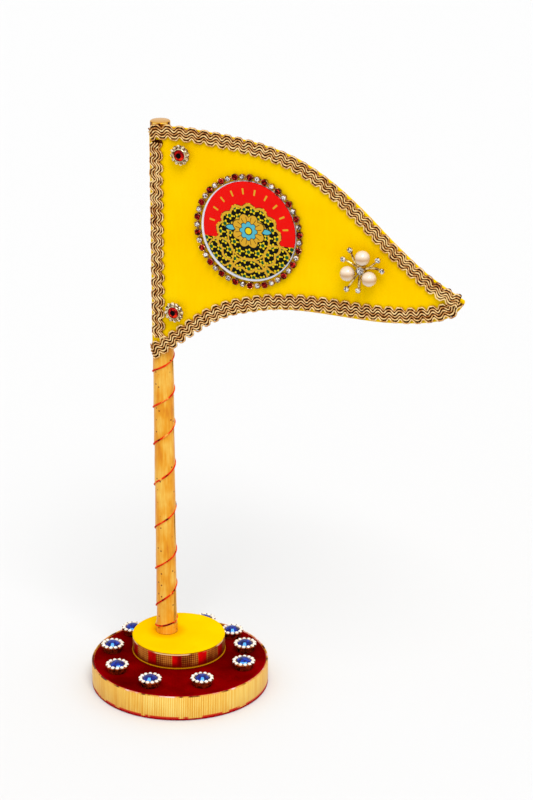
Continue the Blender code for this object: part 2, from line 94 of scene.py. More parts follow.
def addStudio():
    addCamera()
    scene = bpy.context.scene
    scene.view_settings.view_transform = "Standard"
    world = bpy.data.worlds.new("studioWorld")
    world.use_nodes = True
    world.node_tree.nodes["Background"].inputs["Color"].default_value = (1, 1, 1, 1)
    world.node_tree.nodes["Background"].inputs["Strength"].default_value = studio["worldStrength"]
    scene.world = world
    addLight("keyLight", *studio["key"])
    bm = bmesh.new()
    bmesh.ops.create_grid(bm, x_segments=1, y_segments=1, size=20)
    mesh = bpy.data.meshes.new("floor")
    bm.to_mesh(mesh)
    bm.free()
    floor = bpy.data.objects.new("floor", mesh)
    scene.collection.objects.link(floor)
    floorPaint = Finish("floorPaint", Roughness=0.9)
    floorPaint.colour(studio["floorColour"])
    mesh.materials.append(floorPaint.material)


# Materials

def tint(red, green, blue):
    # a colour as it looks in this light on a screen, 0 to 255, as linear values
    linear = (((c / 255 + 0.055) / 1.055) ** 2.4 if c > 10 else c / 255 / 12.92
              for c in (red, green, blue))
    return (*(c / studio["lightLevel"] for c in linear), 1.0)


class Value:
    # a socket in a material: sums written with it become Math nodes
    def __init__(self, finish, socket):
        self.finish = finish
        self.socket = socket

    def maths(self, operation, *others):
        return self.finish.maths(operation, self, *others)

    def __add__(self, other):
        return self.maths("ADD", other)

    def __sub__(self, other):
        return self.maths("SUBTRACT", other)

    def __rsub__(self, other):
        return self.finish.maths("SUBTRACT", other, self)

    def __mul__(self, other):
        return self.maths("MULTIPLY", other)

    def __truediv__(self, other):
        return self.maths("DIVIDE", other)

    def __gt__(self, limit):
        return self.maths("GREATER_THAN", limit)

    def __abs__(self):
        return self.maths("ABSOLUTE")

    __radd__ = __add__
    __rmul__ = __mul__


def fraction(value):
    return value.maths("FRACT")


class Finish:
    # one material: a Principled shader and the nodes that feed it
    def __init__(self, name, **constants):
        self.material = bpy.data.materials.new(name)
        self.material.use_nodes = True
        self.tree = self.material.node_tree
        self.shader = self.tree.nodes["Principled BSDF"]
        for label, value in constants.items():
            self.shader.inputs[label.replace("_", " ")].default_value = value

    def node(self, kind, settings=None, inputs=None, output=0):
        node = self.tree.nodes.new("ShaderNode" + kind)
        for label, value in (settings or {}).items():
            if label == "stops":
                ramp = node.color_ramp
                for number, (position, stopColour) in enumerate(value):
                    if number < len(ramp.elements):
                        stop = ramp.elements[number]
                    else:
                        stop = ramp.elements.new(position)
                    stop.position = position
                    stop.color = stopColour
            else:
                setattr(node, label, value)
        for label, value in (inputs or {}).items():
            if isinstance(value, Value):
                self.tree.links.new(value.socket, node.inputs[label])
            else:
                node.inputs[label].default_value = value
        return Value(self, node.outputs[output])

    def maths(self, operation, *values):
        return self.node("Math", {"operation": operation}, dict(enumerate(values)))

    def feed(self, label, value):
        self.tree.links.new(value.socket, self.shader.inputs[label])

    def colour(self, value):
        if isinstance(value, Value):
            self.feed("Base Color", value)
        else:
            self.shader.inputs["Base Color"].default_value = (*value[:3], 1.0)

    def mix(self, share, first, second):
        first, second = (tint(*c) if isinstance(c, tuple) else c for c in (first, second))
        return self.node("Mix", {"data_type": "RGBA"}, {0: share, 6: first, 7: second}, 2)

    def ramp(self, value, *stops):
        stops = [(position, tint(*stop)) for position, stop in stops]
        return self.node("ValToRGB", {"stops": stops}, {0: value})

    def place(self):
        return self.node("TexCoord", output="Object")

    def uv(self):
        return self.node("TexCoord", output="UV")

    def parts(self, vector):
        split = self.node("SeparateXYZ", inputs={0: vector}).socket.node
        return [Value(self, output) for output in split.outputs]

    def attribute(self, name):
        return self.node("Attribute", {"attribute_name": name}, output="Fac")

    def length(self, x, y):
        return self.maths("SQRT", x * x + y * y)

    def turnOf(self, y, x):
        return self.maths("ARCTAN2", y, x)

    def grain(self, vector, scale, detail=3.0, roughness=0.55):
        return self.node("TexNoise", inputs={"Vector": vector, "Scale": scale, "Detail": detail,
                                             "Roughness": roughness}, output=0)

    def stretched(self, vector, scale):
        return self.node("Mapping", inputs={"Vector": vector, "Scale": scale})

    def wave(self, value, pitch):
        # 0 to 1 and back over each pitch
        return self.maths("SINE", value * (math.tau / pitch)) * 0.5 + 0.5

    def clamp(self, value):
        return self.node("Clamp", inputs={0: value})

    def fade(self, value, start, end):
        # 0 before start, 1 after end
        return self.node("MapRange", {"interpolation_type": "SMOOTHSTEP"},
                         {"Value": value, "From Min": start, "From Max": end})

    def bump(self, height, distance, strength=1.0):
        bumped = self.node("Bump", inputs={"Height": height, "Distance": distance,
                                           "Strength": strength})
        self.feed("Normal", bumped)


# Making pieces

def addPiece(name, bm, finish, nodes=(), smooth=40, tones=None):
    bmesh.ops.recalc_face_normals(bm, faces=bm.faces)
    mesh = bpy.data.meshes.new(name)
    bm.to_mesh(mesh)
    bm.free()
    return addMesh(name, mesh, finish, nodes, smooth, tones)


def addMesh(name, mesh, finish, nodes=(), smooth=40, tones=None):
    mesh.materials.clear()
    mesh.materials.append(finish.material)
    mesh.shade_smooth()
    mesh.set_sharp_from_angle(angle=math.radians(smooth))
    if tones:
        tone = mesh.attributes.new("tone", "FLOAT", "FACE")
        for item in tone.data:
            item.value = random.uniform(*tones)
    piece = bpy.data.objects.new(name, mesh)
    bpy.context.scene.collection.objects.link(piece)
    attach(piece, "root")
    if nodes:
        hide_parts(*nodes)
    return piece


def turned(profile, steps, closed=False):
    # spins (radius, height) points in mm round the Z axis
    bm = bmesh.new()
    verts = [bm.verts.new((radius * mm, 0, height * mm)) for radius, height in profile]
    edges = [bm.edges.new(pair) for pair in zip(verts, verts[1:])]
    if closed:
        edges.append(bm.edges.new((verts[-1], verts[0])))
    bmesh.ops.spin(bm, geom=verts + edges, cent=(0, 0, 0), axis=(0, 0, 1),
                   angle=math.tau, steps=steps, use_merge=True)
    bmesh.ops.remove_doubles(bm, verts=bm.verts, dist=1e-7)
    return bm


def shapeOf(bm):
    # keeps a small shape so that copies of it can be set down
    bmesh.ops.recalc_face_normals(bm, faces=bm.faces)
    mesh = bpy.data.meshes.new("shape")
    bm.to_mesh(mesh)
    bm.free()
    return mesh


def setDown(shape, places, bm=None):
    # copies of one shape, each moved by its own matrix
    bm = bm or bmesh.new()
    for matrix in places:
        start = len(bm.verts)
        bm.from_mesh(shape)
        bm.verts.ensure_lookup_table()
        bmesh.ops.transform(bm, matrix=matrix, verts=bm.verts[start:])
    return bm


def smoothLine(stops, steps):
    # points along a Catmull-Rom curve through the given ones
    ends = [stops[0], *stops, stops[-1]]
    line = []
    for a, b, c, d in zip(ends, ends[1:], ends[2:], ends[3:]):
        a, b, c, d = (Vector(stop) for stop in (a, b, c, d))
        for step in range(steps):
            t = step / steps
            line.append(0.5 * (2 * b + (c - a) * t + (2 * a - 5 * b + 4 * c - d) * t ** 2
                               + (3 * b - a - 3 * c + d) * t ** 3))
    line.append(Vector(stops[-1]))
    return line


def heightAt(line, across):
    for start, end in zip(line, line[1:]):
        if across <= end.x:
            return start.y + (end.y - start.y) * (across - start.x) / (end.x - start.x)
    return line[-1].y


def addTubes(name, lines, radius, finish, nodes=(), sides=6, closed=False):
    # round cords along lists of points; radius may change along each one
    curve = bpy.data.curves.new(name, "CURVE")
    curve.dimensions = "3D"
    curve.bevel_depth = radius * mm
    curve.bevel_resolution = (sides - 4) // 2
    curve.use_fill_caps = not closed
    for line in lines:
        spline = curve.splines.new("POLY")
        spline.points.add(len(line) - 1)
        spline.use_cyclic_u = closed
        for point, place in zip(spline.points, line):
            point.co = (*place[:3], 1)
            point.radius = place[3] if len(place) > 3 else 1
    holder = bpy.data.objects.new(name + "Curve", curve)
    bpy.context.scene.collection.objects.link(holder)
    bpy.context.view_layer.update()
    mesh = bpy.data.meshes.new_from_object(
        holder.evaluated_get(bpy.context.evaluated_depsgraph_get()))
    mesh.name = name
    bpy.data.objects.remove(holder)
    return addMesh(name, mesh, finish, nodes, 60)


# Places on the flag

pole = {
    "axis": (-11.2, 7.0),       # mm
    "face": 5.5,                # mm from the axis to the flag's face
}


def onFace(across, height, out):
    # a place in mm on the flag's face; less than zero across goes back round the pole
    radius = pole["face"] + out
    x, y = pole["axis"]
    if across >= 0:
        return Vector((x + across, y - radius, height)) * mm
    turn = across / pole["face"]
    return Vector((x + radius * math.sin(turn), y - radius * math.cos(turn), height)) * mm


def faceMatrix(across, height, out, turn=0.0):
    # stands an upright shape on the flag's face
    return (Matrix.Translation(onFace(across, height, out))
            @ Matrix.Rotation(math.radians(90), 4, "X")
            @ Matrix.Rotation(math.radians(turn), 4, "Z"))


def outOf(place):
    # how far a finished point stands out from the flag's face, in mm
    x, y = place.x / mm - pole["axis"][0], pole["axis"][1] - place.y / mm
    return (y if x >= 0 else math.hypot(x, y)) - pole["face"]


# Base

base = {
    "radius": 46.6,
    "height": 14.0,
    "coverRadius": 45.5,
    "ribPitch": 0.95,           # mm, the ribbon's upright ribs
    "steps": 144,
}


def velvetFinish():
    velvet = Finish("redVelvet", Roughness=0.75, Sheen_Weight=0.25, Sheen_Roughness=0.3,
                    Sheen_Tint=tint(255, 20, 30), Specular_IOR_Level=0.0)
    place = velvet.place()
    nap = velvet.grain(place, 45, 4)
    pile = velvet.grain(place, 1500, 2)
    shade = nap * 0.8 + pile * 0.25
    red = velvet.ramp(shade, (0.3, (66, 0, 0)), (0.5, (100, 0, 0)),
                      (0.75, (150, 0, 2)))
    x, y, _ = velvet.parts(place)
    # painted sheen: a brighter pink-red ring round the rim of the top
    paintedSheenRim = velvet.fade(velvet.length(x, y), 44.8 * mm, 45.4 * mm)
    velvet.colour(velvet.mix(paintedSheenRim * 0.45, red, (205, 0, 34)))
    velvet.bump(pile, 0.15 * mm, 0.4)
    return velvet


def ribbonFinish():
    ribbon = Finish("ribbedGoldRibbon", Metallic=0.35, Roughness=0.42, Specular_IOR_Level=0.2)
    place = ribbon.place()
    x, y, z = ribbon.parts(place)
    around = ribbon.turnOf(y, x)
    arc = around * (base["radius"] * mm)
    ribs = ribbon.wave(arc, base["ribPitch"] * mm)
    patches = ribbon.grain(ribbon.stretched(place, (1, 1, 0.6)), 60, 3)
    threads = ribbon.grain(ribbon.stretched(place, (1, 1, 0.05)), 700, 2)
    shade = ribs * 0.32 + patches * 0.45 + threads * 0.4
    gold = ribbon.ramp(shade, (0.3, (216, 132, 24)), (0.55, (246, 184, 58)),
                       (0.8, (255, 226, 128)))
    dashes = ribbon.grain(ribbon.stretched(place, (1, 1, 0.1)), 120, 2)
    selvage = ribbon.fade(z, 13.2 * mm, 13.35 * mm)
    edge = ribbon.ramp(dashes, (0.4, (110, 36, 4)), (0.47, (238, 176, 60)),
                       (0.55, (236, 150, 90)), (0.64, (255, 214, 204)))
    gold = ribbon.mix(selvage, gold, edge)
    footLine = ribbon.fade(z, 2.5 * mm, 1.9 * mm) * ribbon.fade(dashes, 0.42, 0.5)
    gold = ribbon.mix(footLine, gold, (216, 44, 4))
    ribbon.colour(gold)
    ribbon.bump(ribs + threads * 0.4, 0.12 * mm, 0.7)
    return ribbon


def addBase():
    r, top, cover = base["radius"], base["height"], base["coverRadius"]
    inner = cover - 1.3
    profile = [(0, top), (cover - 6, top), (cover - 1.2, top - 0.05), (cover - 0.5, top - 0.25),
               (cover - 0.1, top - 0.7), (cover, top - 1.3), (cover, 1.1), (r - 0.2, 1.0),
               (r, 0.8), (r, 0.45), (r - 0.2, 0.3), (inner, 0.3), (inner, top - 1.2),
               (0, top - 1.2)]
    bm = turned(profile, base["steps"])
    addPiece("baseVelvet", bm, velvetFinish(), ["base_cover"])
    profile = [(cover + 0.1, 1.15), (r - 0.1, 1.15), (r, 1.4), (r, top - 0.75),
               (r - 0.25, top - 0.3), (r - 0.6, top - 0.3), (cover + 0.1, top - 0.8)]
    bm = turned(profile, base["steps"], closed=True)
    for vert in bm.verts:       # the ribbon is pasted on a little unevenly
        swell = noise.noise(vert.co * 70) * 0.12 * mm
        vert.co += Vector((vert.co.x, vert.co.y, 0)).normalized() * swell
    addPiece("baseRibbon", bm, ribbonFinish(), ["base_band"])


# Step

step = {
    "centre": (-4.6, 7.8),
    "foot": 14.3,
    "top": 24.0,
    "radius": 24.6,
    "hem": 25.1,
    "repeats": 11,              # red and gold squares round the ribbon
    "redShare": 0.36,
    "turn": 65.5,               # degrees, sets a red square at the front
    "steps": 96,
}


def yellowFinish(name="yellowCloth", poleShade=False):
    cloth = Finish(name, Roughness=0.82, Specular_IOR_Level=0.0)
    place = cloth.place()
    x, y, z = cloth.parts(place)
    weave = cloth.wave(x + y, 0.42 * mm) * cloth.wave(z - y, 0.42 * mm)
    patches = cloth.grain(place, 28, 3)
    shade = patches * 0.8 + weave * 0.2
    yellow = cloth.ramp(shade, (0.25, (250, 190, 0)), (0.5, (255, 203, 0)),
                        (0.75, (255, 214, 4)))
    if poleShade:
        # painted shade: orange round the pole's foot; the cloth also turns a darker gold towards the
        # bottom
        px, py = (value * mm for value in pole["axis"])
        near = cloth.length(x - px, y - py)
        yellow = cloth.mix(cloth.fade(near, 12 * mm, 5.5 * mm) * 0.6, yellow, (244, 150, 0))
        yellow = cloth.mix(cloth.fade(z, 20 * mm, 16 * mm), yellow, (196, 126, 6))
    cloth.colour(yellow)
    cloth.bump(weave + patches * 0.8, 0.1 * mm, 0.35)
    return cloth


def tissueFinish():
    tissue = Finish("tissueRibbon", Metallic=0.1, Roughness=0.5, Specular_IOR_Level=0.04)
    place = tissue.place()
    x, y, z = tissue.parts(place)
    cx, cy = step["centre"]
    around = tissue.turnOf(y - cy * mm, x - cx * mm) * (180 / math.pi)
    share = 360 / step["repeats"]
    turns = (around + (step["turn"] + share / 2 + 360)) / share
    fromMiddle = abs(fraction(turns) - 0.5)
    wobble = tissue.grain(place, 300, 2) * 0.05 - 0.025
    red = tissue.fade(fromMiddle + wobble, step["redShare"] / 2 + 0.015, step["redShare"] / 2 - 0.015)
    grid = tissue.wave(around, 2.6) * 0.5 + tissue.wave(z, 1.15 * mm) * 0.5
    patches = tissue.grain(tissue.stretched(place, (1, 1, 0.7)), 120, 3)
    gold = tissue.ramp(grid * 0.4 + patches * 0.7, (0.3, (62, 14, 0)),
                       (0.5, (132, 54, 8)), (0.72, (202, 124, 46)))
    redCloth = tissue.ramp(patches, (0.35, (128, 0, 0)), (0.65, (224, 0, 0)))
    colour = tissue.mix(red, gold, redCloth)
    low = tissue.fade(z + patches * (3 * mm), 20.2 * mm, 17.0 * mm)
    colour = tissue.mix(low * 0.8, colour, (104, 0, 0))
    topEdge = tissue.fade(z, 21.95 * mm, 22.1 * mm) * tissue.fade(
        tissue.grain(place, 90, 1), 0.45, 0.55)
    colour = tissue.mix(topEdge, colour, (240, 196, 140))
    tissue.colour(colour)
    tissue.bump(grid, 0.08 * mm, 0.6)
    return tissue


def addStep():
    shift = Vector((step["centre"][0] * mm, step["centre"][1] * mm, 0))
    r, top, foot = step["radius"], step["top"], step["foot"]
    skirt = r - 1.1
    inner = skirt - 1.0
    profile = [(0, top), (r - 3, top), (r - 0.8, top - 0.08), (r - 0.25, top - 0.35),
               (r, top - 0.85), (r - 0.2, top - 1.25), (skirt, top - 1.3), (skirt, foot + 0.6),
               (step["hem"] - 0.3, foot + 0.5), (step["hem"] - 0.2, foot + 0.3),
               (step["hem"] - 0.3, foot), (inner, foot), (inner, top - 1.2), (0, top - 1.2)]
    bm = turned(profile, step["steps"])
    bmesh.ops.translate(bm, verts=bm.verts, vec=shift)
    addPiece("stepCloth", bm, yellowFinish("stepYellow", True), ["tier_cover"])
    profile = [(skirt + 0.1, foot + 0.7), (r - 0.15, foot + 0.7), (r - 0.05, foot + 1.0),
               (r - 0.1, top - 1.7), (r - 0.3, top - 1.45), (skirt + 0.1, top - 1.45)]
    bm = turned(profile, step["steps"], closed=True)
    bmesh.ops.translate(bm, verts=bm.verts, vec=shift)
    addPiece("stepRibbon", bm, tissueFinish(), ["tier_band"])


# Pole

wrap = {
    "foot": 24.3,
    "top": 185.2,
    "radius": 5.2,
    "overlap": 0.28,            # mm that each turn stands over the last one
    "collar": 5.5,
    "collarThickness": 0.42,
    "startAngle": 205.4,
    # height of the ribbon's red edge after each half turn, in mm
    "halfTurns": (27.6, 31.7, 38.8, 52.2, 60.3, 71.9, 84.0, 96.0, 108.5,
                  121.0, 131.1, 143.4, 151.8, 162.3, 171.7, 180.6, 189.0),
    "threadRadius": 0.46,
    "dots": (8.5, 6.6, 22.2),   # spacing round and up the pole, and place of the first pair
}


def halfTurnsAt(height):
    stops = wrap["halfTurns"]
    if height < stops[0]:
        return (height - stops[0]) / 4.1
    for number, (low, high) in enumerate(zip(stops, stops[1:])):
        if height <= high:
            return number + (height - low) / (high - low)
    return len(stops) - 1


def wrapRadius(angle, height):
    # the ribbon is thickest just above its lower edge
    turns = (wrap["startAngle"] - math.degrees(angle)) / 360 + halfTurnsAt(height) / 2
    share = turns % 1
    radius = wrap["radius"] + wrap["overlap"] * (1 - share) ** 1.5
    if height < wrap["foot"] + wrap["collar"]:
        radius += wrap["collarThickness"] * min(1, (wrap["foot"] + wrap["collar"] - height) * 3)
    return radius


def roundPole(angle, radius, height):
    px, py = pole["axis"]
    return Vector((px + radius * math.cos(angle), py + radius * math.sin(angle), height)) * mm


def satinFinish():
    satin = Finish("goldenSatin", Metallic=0.25, Roughness=0.36, Specular_IOR_Level=0.25)
    u, v, _ = satin.parts(satin.uv())
    fibres = satin.grain(satin.stretched(satin.uv(), (1, 0.08, 1)), 900, 2)
    patches = satin.grain(satin.stretched(satin.uv(), (1, 0.4, 1)), 130, 3)
    shade = fibres * 0.35 + patches * 0.8
    gold = satin.ramp(shade, (0.36, (214, 120, 6)), (0.55, (238, 160, 30)),
                      (0.78, (252, 206, 92)))
    # pairs of small dark dots woven in
    dots = 0
    for dotU, dotV in ((0.0, 0.0), (1.9, 1.3)):
        du = (fraction((u - (wrap["dots"][2] + dotU - 20) * mm) / (wrap["dots"][0] * mm))
              - 0.5) * wrap["dots"][0]
        dv = (fraction((v + (dotV + 20) * mm) / (wrap["dots"][1] * mm))
              - 0.5) * wrap["dots"][1]
        dots = satin.fade(satin.length(du, dv), 0.55, 0.3) + dots
    dots = dots * satin.fade(satin.grain(satin.uv(), 150, 1), 0.5, 0.56)
    satin.colour(satin.mix(satin.clamp(dots), gold, (120, 44, 0)))
    satin.bump(fibres, 0.1 * mm, 0.4)
    return satin


def addPole():
    px, py = pole["axis"]
    columns, rows = 72, 330
    bm = bmesh.new()
    bmesh.ops.create_grid(bm, x_segments=columns, y_segments=rows, size=0.5)
    uvLayer = bm.loops.layers.uv.new("UVMap")
    for face in bm.faces:
        for loop in face.loops:
            u, v = loop.vert.co.x + 0.5, loop.vert.co.y + 0.5
            loop[uvLayer].uv = (u * 34 * mm, v * 161 * mm)
    for vert in bm.verts:
        angle = (vert.co.x + 0.5) * math.tau
        height = wrap["foot"] + (vert.co.y + 0.5) * (wrap["top"] - wrap["foot"])
        radius = wrapRadius(angle, height)
        radius += 0.05 * noise.noise(Vector((angle * 2, height * 0.2, 0)))
        vert.co = roundPole(angle, radius, height)
    bmesh.ops.remove_doubles(bm, verts=bm.verts, dist=1e-6)
    rims = [edge for edge in bm.edges if edge.is_boundary]
    bmesh.ops.holes_fill(bm, edges=rims)
    addPiece("poleRibbon", bm, satinFinish(), ["pole_wrap"], smooth=50)

    thread = Finish("redThread", Roughness=0.5, Specular_IOR_Level=0.06)
    # dark and pale patches at random along the thread; the pale ones are painted highlights
    fibres = thread.grain(thread.place(), 260, 2)
    thread.colour(thread.ramp(fibres, (0.34, (90, 0, 0)), (0.42, (220, 30, 0)),
                              (0.6, (234, 62, 6)), (0.68, (255, 170, 70))))
    line = []
    turns = len(wrap["halfTurns"]) - 1
    for step24 in range(turns * 16 - 8):
        halfTurns = step24 / 16
        low = int(halfTurns)
        height = wrap["halfTurns"][low] + (halfTurns - low) * (
            wrap["halfTurns"][low + 1] - wrap["halfTurns"][low])
        angle = math.radians(wrap["startAngle"]) + halfTurns * math.pi
        radius = wrapRadius(angle - 0.01, height + 0.05) + 0.02
        thick = 1.0 + 0.4 * noise.noise(Vector((halfTurns * 3, 2, 0)))
        line.append((*roundPole(angle, radius, height), thick))
    addTubes("poleThread", [line], wrap["threadRadius"], thread, ["pole_thread"])

    brass = Finish("polishedBrass", Metallic=0.85, Roughness=0.2)
    x, y, z = brass.parts(brass.place())
    around = brass.turnOf(y - py * mm, x - px * mm)
    # painted reflections: dark and bright upright streaks round the side, set by the angle round the
    # cap; the top gets one plainer, lighter gold as a painted highlight
    reflectionStreaks = brass.wave(around + math.radians(51.6), math.radians(60))
    reflectionStreaks = reflectionStreaks * 0.8 + brass.grain(brass.place(), 300, 1) * 0.3
    side = brass.ramp(reflectionStreaks, (0.2, (70, 22, 0)), (0.3, (176, 104, 6)),
                      (0.55, (222, 150, 22)), (0.85, (255, 212, 110)))
    onTop = brass.fade(z, 305.1 * mm, 305.3 * mm)
    brass.colour(brass.mix(onTop, side, (232, 166, 44)))
    profile = [(0, 305.4), (4.4, 305.4), (4.85, 305.3), (5.1, 305.05), (5.15, 304.7),
               (5.15, 300.9), (5.0, 300.7), (4.5, 300.7), (4.5, 303.9), (0, 303.9)]
    bm = turned(profile, 64)
    bmesh.ops.translate(bm, verts=bm.verts, vec=(px * mm, py * mm, 0))
    addPiece("brassCap", bm, brass, ["pole_cap"])


# Flag cloth

flag = {
    "top": ((0, 300.3), (4.2, 300.4), (8, 304.2), (26, 304.1), (44, 302.9), (61, 300.8),
            (78, 296.3), (95.5, 287.4), (112.6, 275.0), (129.8, 260.2),
            (146.5, 247.5), (160.6, 239.6), (166.4, 236.7)),
    "foot": ((0, 185.5), (7.9, 189.6), (17.1, 196.0), (26.3, 202.6),
             (35.3, 207.8), (48.7, 213.0), (66.4, 217.3), (84, 218.9),
             (118.5, 219.2), (135.6, 220.8), (148, 223.0), (156.5, 225.9),
             (162.7, 230.2), (166.4, 235.3)),
    "sleeve": (4.5, 5.5),       # inner and outer radius
    "thickness": 2.0,
    "sleeveTop": 300.0,
    "sleeveFoot": 185.5,
    "columns": 64,
    "rows": 36,
    "flatSize": (0.1985, 0.119),    # metres, width and length the sheet was cut to
    "flatArea": 0.0151,         # square metres, as the cut isn't a rectangle
}


def flagColumns():
    # (outer point, inner point, low, high) in mm, from the flap round to the tip
    inner, outer = flag["sleeve"]
    top = smoothLine(flag["top"], 8)
    foot = smoothLine(flag["foot"], 8)
    back = -outer + flag["thickness"]
    rows = []
    for across in (12.5, 11.0, 9.4, 8.0):
        rows.append(((across, back + 1.0), (across, back + 0.02)))
    lip = Vector((7.6, back + 0.02))
    tangent = math.atan2(lip.y, lip.x) + math.acos(inner / lip.length)
    touch = Vector((math.cos(tangent), math.sin(tangent)))
    for share in (0.15, 0.4, 0.7):
        point = lip.lerp(touch * inner, share)
        rows.append((tuple(point + touch), tuple(point)))
    for number in range(25):
        angle = tangent + (math.radians(270) - tangent) * number / 25
        rows.append(((outer * math.cos(angle), outer * math.sin(angle)),
                     (inner * math.cos(angle), inner * math.sin(angle))))
    columns = []
    for outerPoint, innerPoint in rows:
        low = max(flag["sleeveFoot"], heightAt(foot, max(outerPoint[0], 0)))
        columns.append((outerPoint, innerPoint, low, flag["sleeveTop"]))
    meets = math.sqrt(inner ** 2 - back ** 2)
    places = [0, meets / 2, meets, 3.6]
    for number in range(flag["columns"] + 1):
        share = 1 - (1 - number / flag["columns"]) ** 1.3
        places.append(4.2 + (flag["top"][-1][0] - 4.2) * share)
    for across in places:
        innerY = -math.sqrt(inner ** 2 - across ** 2) if across <= meets else back
        columns.append(((across, -outer), (across, innerY),
                        heightAt(foot, across), heightAt(top, across)))
    return columns


def addFlag():
    columns = flagColumns()
    arc = [0.0]
    for (start, *_), (end, *_) in zip(columns, columns[1:]):
        arc.append(arc[-1] + math.dist(start, end))
    last = len(columns) - 1
    bm = bmesh.new()
    bmesh.ops.create_grid(bm, x_segments=last, y_segments=flag["rows"], size=0.5)
    uvLayer = bm.loops.layers.uv.new("UVMap")
    column = bm.verts.layers.int.new("column")
    share = bm.verts.layers.float.new("share")
    for vert in bm.verts:
        vert[column] = round((vert.co.x + 0.5) * last)
        vert[share] = vert.co.y + 0.5
    for face in bm.faces:
        for loop in face.loops:
            number, up = loop.vert[column], loop.vert[share]
            low, high = columns[number][2:]
            loop[uvLayer].uv = (arc[number] * mm, (low + (high - low) * up) * mm)
    grown = bmesh.ops.extrude_face_region(bm, geom=bm.faces[:])
    innerVerts = {item for item in grown["geom"] if isinstance(item, bmesh.types.BMVert)}
    px, py = pole["axis"]
    for vert in bm.verts:
        outer, inner, low, high = columns[vert[column]]
        x, y = inner if vert in innerVerts else outer
        height = low + (high - low) * vert[share]
        if outer[0] > 6 and outer[1] < -5:      # the stiff sheet isn't quite even
            y += 0.16 * noise.noise(Vector((x * 0.035, height * 0.035, 3)))
        vert.co = Vector((px + x, py + y, height)) * mm
    bmesh.ops.recalc_face_normals(bm, faces=bm.faces)
    rims = [edge for edge in bm.edges
            if edge.is_manifold and edge.calc_face_angle(0) > math.radians(65)]
    bmesh.ops.bevel(bm, geom=rims, offset=0.3 * mm, offset_type="OFFSET", segments=2,
                    profile=0.5, affect="EDGES", clamp_overlap=True, material=-1)
    cloth = Finish("flagYellow", Roughness=0.8, Specular_IOR_Level=0.0)
    u, v, _ = cloth.parts(cloth.uv())
    weave = cloth.wave(u, 0.4 * mm) * 0.5 + cloth.wave(v, 0.4 * mm) * 0.5
    slubs = cloth.grain(cloth.stretched(cloth.uv(), (1, 0.12, 1)), 600, 2)
    patches = cloth.grain(cloth.uv(), 26, 3)
    shade = patches * 0.75 + slubs * 0.2 + weave * 0.06
    cloth.colour(cloth.ramp(shade, (0.25, (252, 194, 0)), (0.5, (255, 205, 0)),
                            (0.75, (255, 215, 6))))
    cloth.bump(weave * 0.4 + slubs * 0.5 + patches, 0.1 * mm, 0.35)
    piece = addPiece("flagCloth", bm, cloth, ["flag_panel", "flag_sleeve"], 50)
    area = sum(polygon.area for polygon in piece.data.polygons) / 2
    print("flag cloth", round(arc[-1]), "mm round,", round(area * 1e6), "mm2")
    return piece


# Braids

braid = {
    "cords": 5,                 # side by side, all waving in step
    "cordRadius": 0.4,
    "swing": 0.95,              # mm that a cord waves to either side
    "lean": 0.35,                # the outer cords have rounder crests on one side
    "lift": 0.8,
    "dip": 0.09,                # mm that neighbouring cords pass over and under
    "overlap": (0.85, 16, 7),   # mm: how far the top braid rises over the other at the tip
    "pointsEach": 24,           # in each scallop
    "shadeStripHalfWidth": 2.9,
    "shadeStripThickness": 0.4,
}

braidRoutes = {
    # CAD node, half width, shift across at either end, unevenness, start of the cords,
    # scallops passed at some distances, route
    "braidTop": ("braid_top", 4.2, (0.75, 0.65), 0.14, 0.0,
                 ((14.28, -3.5), (37.81, 0), (61.41, 4)),
                 ((-3.2, 299.0), (0, 299.9), (4.5, 300.8), (17, 301.2), (30, 300.7),
                  (45, 299.7), (62.6, 297.3), (80, 291.9), (97, 282.4), (114.2, 269.0),
                  (131.0, 254.8), (148.0, 242.8), (156.4, 238.8), (164.2, 235.9))),
    "braidBottom": ("braid_bottom", 4.4, (-0.8, -1.1), 0.14, 0.0,
                    ((96.22, 0), (114.41, 3), (149.46, 9)),
                    ((-4.6, 183.8), (0.5, 187.4), (6.8, 191.9), (17.5, 200.4),
                     (27, 207.7), (36, 213.0), (45, 216.8), (62.6, 221.7),
                     (80, 224.2), (97.5, 224.9), (114.7, 224.9),
                     (131.8, 225.8), (142, 227.1), (151.5, 229.6), (157.2, 231.6),
                     (160.8, 234.2), (161.8, 237.0))),
    "braidPole": ("braid_pole", 4.0, (0.0, 0.0), 0.37, 1.4,
                  ((49.77, -0.5), (69.08, 2.5)),
                  ((0.5, 297.0), (0.5, 260), (0.5, 228), (0.5, 192.0))),
}


def routeFinder(stops):
    # distance along a route in mm -> (place, heading)
    line = smoothLine(stops, 16)
    lengths = [0.0]
    for start, end in zip(line, line[1:]):
        lengths.append(lengths[-1] + (end - start).length)

    def find(distance):
        distance = min(max(distance, 0), lengths[-1])
        index = 0
        while index < len(line) - 2 and lengths[index + 1] < distance:
            index += 1
        start, end = line[index], line[index + 1]
        share = (distance - lengths[index]) / (lengths[index + 1] - lengths[index])
        return start.lerp(end, share), (end - start).normalized()

    return find, lengths[-1]


def braidFinish():
    cord = Finish("goldCord", Roughness=0.45, Specular_IOR_Level=0.25)
    # painted light and shade: the depth attribute makes the crests light and the lower sides dark,
    # and the sparkle grain adds painted glints
    depth = cord.attribute("depth")
    place = cord.place()
    sparkle = cord.grain(place, 900, 2)
    patches = cord.grain(place, 90, 2)
    shade = cord.clamp(depth * 0.75 + 0.2 + (sparkle - 0.5) * 1.3 + (patches - 0.5) * 0.5)
    cord.colour(cord.ramp(shade, (0.0, (48, 10, 0)), (0.35, (132, 66, 12)),
                          (0.65, (210, 142, 62)), (1.0, (255, 222, 156))))
    cord.bump(sparkle, 0.15 * mm, 0.6)
    return cord


